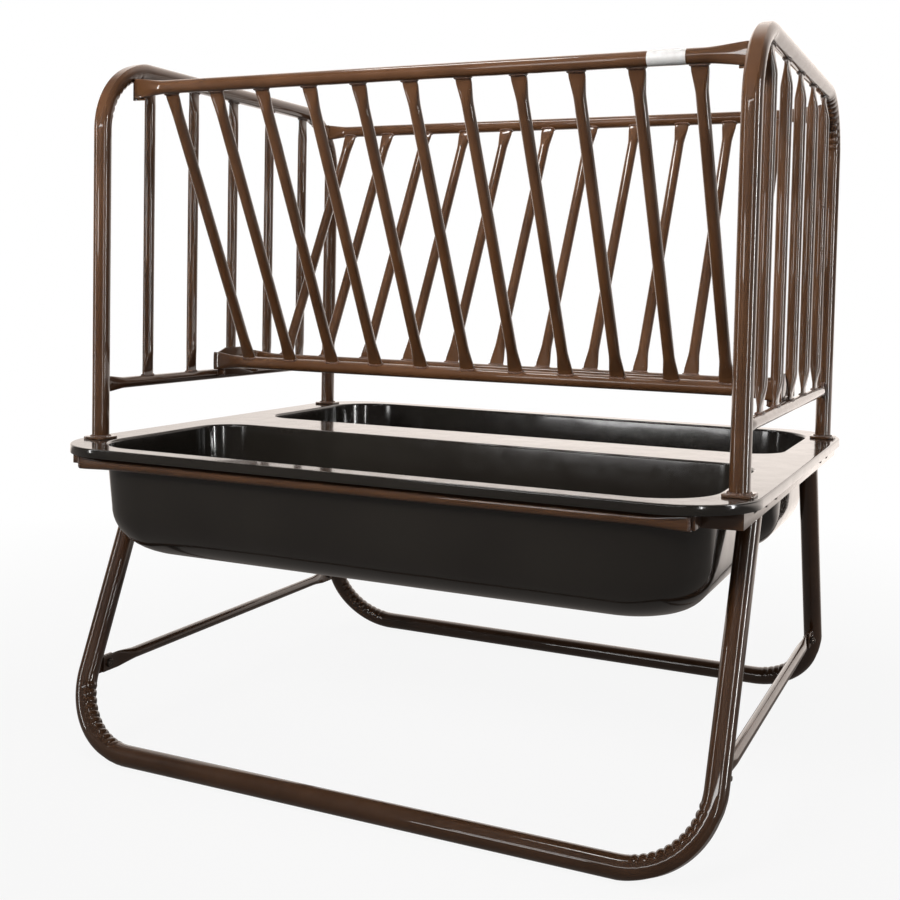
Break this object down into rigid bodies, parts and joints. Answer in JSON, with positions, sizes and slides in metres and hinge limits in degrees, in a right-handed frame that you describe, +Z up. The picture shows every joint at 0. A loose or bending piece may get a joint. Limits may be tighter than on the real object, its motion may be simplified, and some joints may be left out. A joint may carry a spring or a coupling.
{
  "type": "horse feeder",
  "caption": "Pasture horse feeder: a V-shaped hay rack of welded tube over a moulded basin with two troughs, on bent-tube leg frames.",
  "frame": {"origin": "on the floor under the middle of the feeder", "axes": "+X along the troughs to the right, +Y across the troughs to the back, +Z up"},
  "size_m": [1.524, 1.282, 1.5455],
  "materials": {
    "brown_coat": "glossy brown powder coat over welded steel tube",
    "trough_poly": "black moulded polyethylene with a soft shine",
    "bolt_zinc": "dark weathered zinc-plated steel"
  },
  "bodies": {
    "root": {"basin": "trough_poly", "basin_frame": "brown_coat", "left_end_hoop": "brown_coat", "left_end_cross_tube": "brown_coat", "left_end_bar_1": "brown_coat", "left_end_bar_2": "brown_coat", "left_end_bar_3": "brown_coat", "left_end_bar_4": "brown_coat", "left_end_bar_5": "brown_coat", "left_brace": "brown_coat", "right_end_hoop": "brown_coat", "right_end_cross_tube": "brown_coat", "right_end_bar_1": "brown_coat", "right_end_bar_2": "brown_coat", "right_end_bar_3": "brown_coat", "right_end_bar_4": "brown_coat", "right_end_bar_5": "brown_coat", "right_brace": "brown_coat", "front_top_rail": "brown_coat", "front_bottom_rail": "brown_coat", "front_panel_bar_01": "brown_coat", "front_panel_bar_02": "brown_coat", "front_panel_bar_03": "brown_coat", "front_panel_bar_04": "brown_coat", "front_panel_bar_05": "brown_coat", "front_panel_bar_06": "brown_coat", "front_panel_bar_07": "brown_coat", "front_panel_bar_08": "brown_coat", "front_panel_bar_09": "brown_coat", "front_panel_bar_10": "brown_coat", "front_panel_bar_11": "brown_coat", "front_leg_frame": "brown_coat", "back_top_rail": "brown_coat", "back_bottom_rail": "brown_coat", "back_panel_bar_01": "brown_coat", "back_panel_bar_02": "brown_coat", "back_panel_bar_03": "brown_coat", "back_panel_bar_04": "brown_coat", "back_panel_bar_05": "brown_coat", "back_panel_bar_06": "brown_coat", "back_panel_bar_07": "brown_coat", "back_panel_bar_08": "brown_coat", "back_panel_bar_09": "brown_coat", "back_panel_bar_10": "brown_coat", "back_panel_bar_11": "brown_coat", "back_leg_frame": "brown_coat", "front_left_brace_bolt": "bolt_zinc", "front_left_leg_bolt_1": "bolt_zinc", "front_left_leg_bolt_2": "bolt_zinc", "front_right_brace_bolt": "bolt_zinc", "front_right_leg_bolt_1": "bolt_zinc", "front_right_leg_bolt_2": "bolt_zinc", "back_left_brace_bolt": "bolt_zinc", "back_left_leg_bolt_1": "bolt_zinc", "back_left_leg_bolt_2": "bolt_zinc", "back_right_brace_bolt": "bolt_zinc", "back_right_leg_bolt_1": "bolt_zinc", "back_right_leg_bolt_2": "bolt_zinc"}
  },
  "joints": []
}
